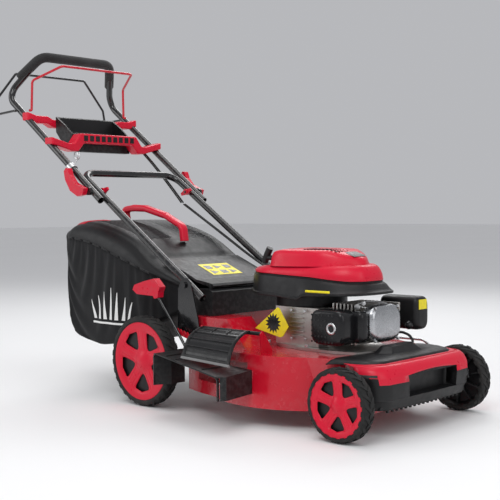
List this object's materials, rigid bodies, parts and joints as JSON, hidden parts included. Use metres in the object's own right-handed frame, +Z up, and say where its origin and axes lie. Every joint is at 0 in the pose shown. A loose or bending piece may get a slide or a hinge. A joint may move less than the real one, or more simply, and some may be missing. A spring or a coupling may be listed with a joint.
{
  "type": "lawn_mower",
  "caption": "Walk-behind petrol mower: pressed deck, front engine, rear grass bag, folding handle, side chute",
  "frame": {"origin": "centre of the whole machine's footprint, on the ground", "axes": "+X is the mower's forward direction, +Y its left side, +Z up"},
  "size_m": [1.5798, 0.681, 1.077],
  "materials": {
    "red_paint": "gloss enamel",
    "black_paint": "gloss enamel",
    "red_plastic": "moulded, light gloss",
    "black_plastic": "moulded, fine grain",
    "black_gloss": "moulded, light gloss",
    "tyre_rubber": "moulded tread",
    "foam": "closed cell foam",
    "mesh_fabric": "woven polyester mesh",
    "cast_alloy": "as cast",
    "pressed_steel": "zinc plated",
    "bright_cover": "bright pressed steel",
    "cable_skin": "extruded sheath",
    "yellow_tag": "printed card"
  },
  "bodies": {
    "chassis": {"deck": "red_paint", "rear_housing": "black_plastic", "bumper": "black_plastic", "bracket_right": "black_paint", "bracket_left": "black_paint", "ratchet_plate": "red_paint", "engine_block": "cast_alloy", "cylinder_head": "cast_alloy", "valve_cover": "bright_cover", "ignition_lead": "cable_skin", "muffler": "black_gloss", "carburettor": "cast_alloy", "air_box": "black_plastic", "blower_shroud": "black_plastic", "engine_cover": "red_plastic", "warning_tag": "yellow_tag", "drive_belt": "cable_skin"},
    "rear_axle_arm": {"rear_axle": "pressed_steel"},
    "front_axle_arm": {"front_axle": "pressed_steel"},
    "gearbox_case": {"gearbox": "cast_alloy"},
    "gearbox_input": {"gearbox_pulley": "pressed_steel"},
    "shaft": {"drive_shaft": "pressed_steel"},
    "lever": {"height_lever": "black_paint", "height_knob": "red_plastic"},
    "link": {"link_rod": "pressed_steel"},
    "crank": {"crankshaft": "pressed_steel", "flywheel": "cast_alloy", "blade": "black_paint"},
    "handle_low": {"lower_handle": "black_paint", "cables_lower": "cable_skin"},
    "handle_top": {"upper_handle": "black_paint", "grip_foam": "foam", "console_frame": "red_plastic", "console_tray": "black_plastic", "rope_guide": "pressed_steel", "cables_upper": "cable_skin"},
    "bail_drive": {"drive_bail": "red_paint"},
    "bail_stop": {"stop_bail": "black_paint"},
    "cam_right": {"cam_lever_right": "red_plastic"},
    "cam_left": {"cam_lever_left": "red_plastic"},
    "nut_right": {"wing_nut_right": "red_plastic"},
    "nut_left": {"wing_nut_left": "red_plastic"},
    "bag": {"bag_fabric": "mesh_fabric", "bag_lid": "black_plastic", "bag_handle": "red_plastic"},
    "flap": {"rear_flap": "black_plastic"},
    "door": {"discharge_door": "black_plastic"},
    "chute": {"side_chute": "black_plastic"},
    "starter": {"starter_grip": "black_plastic", "starter_rope": "cable_skin"},
    "cap": {"fuel_cap": "black_plastic"},
    "primer": {"primer_bulb": "black_gloss"},
    "rear_wheel_right_body": {"rear_wheel_right": "tyre_rubber", "rear_wheel_right_trim": "red_plastic"},
    "rear_wheel_left_body": {"rear_wheel_left": "tyre_rubber", "rear_wheel_left_trim": "red_plastic"},
    "front_wheel_right_body": {"front_wheel_right": "tyre_rubber", "front_wheel_right_trim": "red_plastic"},
    "front_wheel_left_body": {"front_wheel_left": "tyre_rubber", "front_wheel_left_trim": "red_plastic"}
  },
  "joints": [
    {"name": "rear_axle_swing", "type": "hinge", "parent": "chassis", "child": "rear_axle_arm", "pos_m": [0.0387, 0.0595, 0.1448], "axis": [0, 1, 0], "range_deg": [0, 58], "deforming": ["drive_belt"]},
    {"name": "front_axle_swing", "type": "hinge", "parent": "chassis", "child": "front_axle_arm", "pos_m": [0.7345, 0.0595, 0.1068], "axis": [0, 1, 0], "range_deg": [0, 58]},
    {"name": "height_lever_swing", "type": "hinge", "parent": "chassis", "child": "lever", "pos_m": [0.1551, -0.1675, 0.15], "axis": [0, 1, 0], "range_deg": [0, 58]},
    {"name": "link_rod_travel", "type": "slide", "parent": "chassis", "child": "link", "axis": [1, 0, 0], "range_m": [0, 0.047]},
    {"name": "gearbox_level", "type": "hinge", "parent": "rear_axle_arm", "child": "gearbox_case", "pos_m": [0.0051, 0.0595, 0.127], "axis": [0, 1, 0], "range_deg": [-58, 0]},
    {"name": "drive_shaft_spin", "type": "hinge", "parent": "rear_axle_arm", "child": "shaft", "pos_m": [0.0051, 0.0595, 0.127], "axis": [0, 1, 0], "continuous": true},
    {"name": "gearbox_pulley_spin", "type": "hinge", "parent": "gearbox_case", "child": "gearbox_input", "pos_m": [-0.0039, 0.0595, 0.158], "axis": [0, 0, 1], "continuous": true},
    {"name": "crankshaft_spin", "type": "hinge", "parent": "chassis", "child": "crank", "pos_m": [0.4011, 0.0595, 0.12], "axis": [0, 0, 1], "continuous": true},
    {"name": "rear_wheel_right_spin", "type": "hinge", "parent": "rear_axle_arm", "child": "rear_wheel_right_body", "pos_m": [0.0051, -0.2005, 0.127], "axis": [0, 1, 0], "continuous": true},
    {"name": "rear_wheel_left_spin", "type": "hinge", "parent": "rear_axle_arm", "child": "rear_wheel_left_body", "pos_m": [0.0051, 0.3195, 0.127], "axis": [0, 1, 0], "continuous": true},
    {"name": "front_wheel_right_spin", "type": "hinge", "parent": "front_axle_arm", "child": "front_wheel_right_body", "pos_m": [0.7009, -0.2005, 0.089], "axis": [0, 1, 0], "continuous": true},
    {"name": "front_wheel_left_spin", "type": "hinge", "parent": "front_axle_arm", "child": "front_wheel_left_body", "pos_m": [0.7009, 0.3195, 0.089], "axis": [0, 1, 0], "continuous": true},
    {"name": "lower_handle_fold", "type": "hinge", "parent": "chassis", "child": "handle_low", "pos_m": [0.1121, 0.0595, 0.341], "axis": [0, -1, 0], "range_deg": [-130, 0], "deforming": ["cables_lower"]},
    {"name": "upper_handle_fold", "type": "hinge", "parent": "handle_low", "child": "handle_top", "pos_m": [-0.2819, 0.0595, 0.61], "axis": [0, 1, 0], "range_deg": [0, 135], "deforming": ["cables_upper"]},
    {"name": "drive_bail_squeeze", "type": "hinge", "parent": "handle_top", "child": "bail_drive", "pos_m": [-0.6249, 0.0595, 0.88], "axis": [0, -1, 0], "range_deg": [0, 32], "stiffness_Nm_per_rad": 0.8, "springref_deg": -45.84},
    {"name": "stop_bail_squeeze", "type": "hinge", "parent": "handle_top", "child": "bail_stop", "pos_m": [-0.6619, 0.0595, 0.879], "axis": [0, 1, 0], "range_deg": [0, 40], "stiffness_Nm_per_rad": 0.8, "springref_deg": -45.84},
    {"name": "cam_lever_right_flip", "type": "hinge", "parent": "handle_top", "child": "cam_right", "pos_m": [-0.2819, -0.1833, 0.61], "axis": [0.585, 0, 0.811], "range_deg": [0, 100]},
    {"name": "cam_lever_left_flip", "type": "hinge", "parent": "handle_top", "child": "cam_left", "pos_m": [-0.2819, 0.3023, 0.61], "axis": [-0.585, 0, -0.811], "range_deg": [0, 100]},
    {"name": "wing_nut_right_turn", "type": "hinge", "parent": "handle_low", "child": "nut_right", "pos_m": [-0.2819, -0.115, 0.61], "axis": [0, 1, 0], "continuous": true},
    {"name": "wing_nut_left_turn", "type": "hinge", "parent": "handle_low", "child": "nut_left", "pos_m": [-0.2819, 0.234, 0.61], "axis": [0, 1, 0], "continuous": true},
    {"name": "grass_bag_pull", "type": "slide", "parent": "chassis", "child": "bag", "axis": [-1, 0, 0], "range_m": [0, 0.4]},
    {"name": "rear_flap_lift", "type": "hinge", "parent": "chassis", "child": "flap", "pos_m": [0.1651, 0.0595, 0.338], "axis": [0, 1, 0], "range_deg": [0, 60]},
    {"name": "discharge_door_lift", "type": "hinge", "parent": "chassis", "child": "door", "pos_m": [0.3181, -0.1725, 0.232], "axis": [-1, 0, 0], "range_deg": [0, 70]},
    {"name": "side_chute_unhook", "type": "slide", "parent": "chassis", "child": "chute", "axis": [0, -0.8, -0.6], "range_m": [0, 0.11]},
    {"name": "starter_pull", "type": "slide", "parent": "chassis", "child": "starter", "axis": [-0.8, 0, 0.6], "range_m": [0, 0.45], "stiffness_N_per_m": 12, "springref_m": -0.5, "deforming": ["starter_rope"]},
    {"name": "fuel_cap_turn", "type": "hinge", "parent": "chassis", "child": "cap", "pos_m": [0.2971, 0.1875, 0.375], "axis": [0, 0, 1], "range_deg": [0, 120]},
    {"name": "primer_press", "type": "slide", "parent": "chassis", "child": "primer", "axis": [0, 1, 0], "range_m": [0, 0.006], "stiffness_N_per_m": 300, "springref_m": -0.002, "deforming": ["primer_bulb"]}
  ],
  "couplings": [
    {"joint": "front_axle_swing", "follows": "rear_axle_swing", "ratio": 1},
    {"joint": "height_lever_swing", "follows": "rear_axle_swing", "ratio": 1},
    {"joint": "link_rod_travel", "follows": "rear_axle_swing", "m_per_rad": 0.04598},
    {"joint": "gearbox_level", "follows": "rear_axle_swing", "ratio": -1},
    {"joint": "gearbox_pulley_spin", "follows": "crankshaft_spin", "ratio": 0.76}
  ]
}
